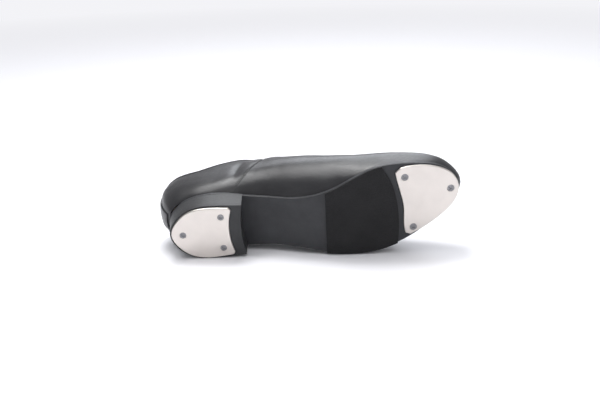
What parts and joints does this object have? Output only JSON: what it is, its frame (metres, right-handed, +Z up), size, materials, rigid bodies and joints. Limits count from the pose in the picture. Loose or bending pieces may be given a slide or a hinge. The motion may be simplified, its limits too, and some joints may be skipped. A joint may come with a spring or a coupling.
{
  "type": "tap shoe",
  "caption": "Left slip-on tap shoe: leather upper with elastic gores, narrow waisted sole with rubber patch, blocked heel, screwed metal toe and heel taps.",
  "frame": {"origin": "centre of the heel tap's wearing face, on the ground", "axes": "+X towards the toe, +Y towards the outer (lateral) side of this left shoe, +Z up"},
  "size_m": [0.2849, 0.0906, 0.1029],
  "materials": {
    "tap_metal": "satin polished",
    "screw_zinc": "zinc plated",
    "steel": "plain",
    "heel_body": "black, satin sides",
    "sole_leather": "dark grey, smooth",
    "rubber_patch": "fine texture, matte",
    "upper_leather": "black, soft gloss",
    "elastic": "ribbed black elastic",
    "binding_cloth": "black tape",
    "lining_cloth": "brushed textile",
    "sock": "padded, black",
    "board": "fibre board",
    "cork": "cork"
  },
  "bodies": {
    "root": {"heel_tap": "tap_metal", "heel_tap_screws": "screw_zinc", "heel_block": "heel_body", "heel_top_lift": "heel_body", "heel_nails": "steel", "outsole": "sole_leather", "sole_patch": "rubber_patch", "shank_rivets": "steel", "steel_shank": "steel", "insole_board": "board", "sock_liner": "sock", "vamp": "upper_leather", "quarter_medial": "upper_leather", "quarter_lateral": "upper_leather", "gore_medial": "elastic", "gore_lateral": "elastic", "back_strip": "upper_leather", "heel_counter": "board", "quarter_lining": "lining_cloth", "vamp_lining": "lining_cloth", "topline_binding": "binding_cloth"},
    "forefoot": {"toe_tap": "tap_metal", "toe_tap_screws": "screw_zinc", "cork_filler": "cork", "toe_puff": "board"}
  },
  "joints": [
    {"name": "forefoot_flex", "type": "hinge", "parent": "root", "child": "forefoot", "pos_m": [0.143, 0, 0.004], "axis": [0, -1, 0], "range_deg": [0, 28], "stiffness_Nm_per_rad": 3, "deforming": ["outsole", "sole_patch", "insole_board", "sock_liner", "vamp", "vamp_lining"]}
  ]
}
